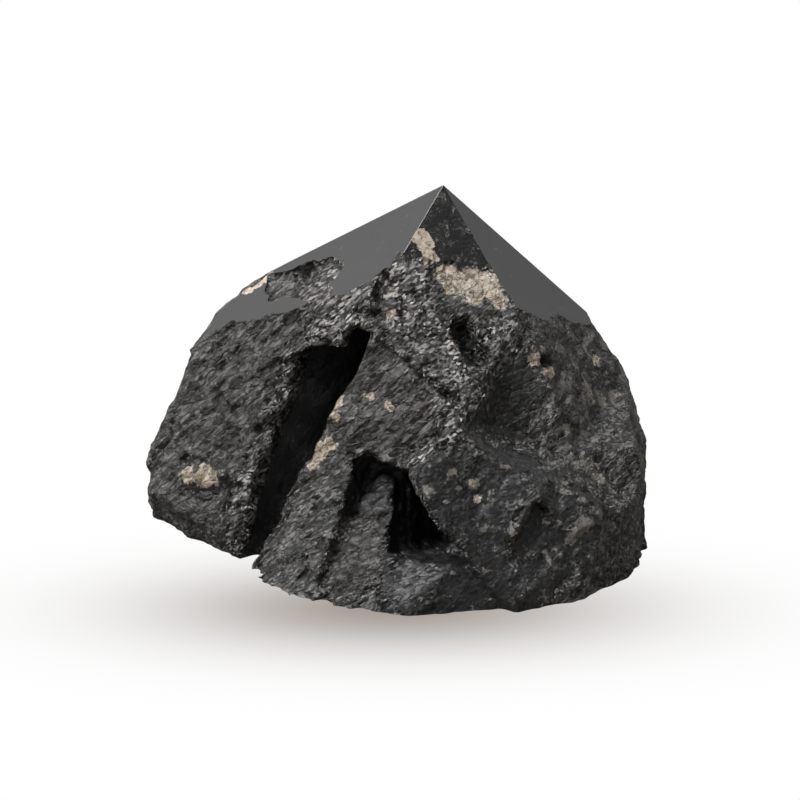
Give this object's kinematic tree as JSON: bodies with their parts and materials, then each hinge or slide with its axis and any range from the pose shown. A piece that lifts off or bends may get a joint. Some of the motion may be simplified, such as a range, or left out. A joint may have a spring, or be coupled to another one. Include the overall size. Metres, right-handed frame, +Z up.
{
  "type": "black tourmaline point",
  "caption": "Rough block of black tourmaline with a sawn flat base and a polished pyramid crown, for standing on a shelf or desk.",
  "frame": {"origin": "middle of the box of the sawn base, on the surface that the stone stands on", "axes": "+Z up through the polished point, -Y towards the side the picture shows, +X to its right"},
  "size_m": [0.0824, 0.0642, 0.0587],
  "materials": {
    "black_tourmaline": "satin polished crown, rough glassy breaks, spots of cream feldspar"
  },
  "bodies": {
    "root": {"tourmaline_point": "black_tourmaline"}
  },
  "joints": []
}
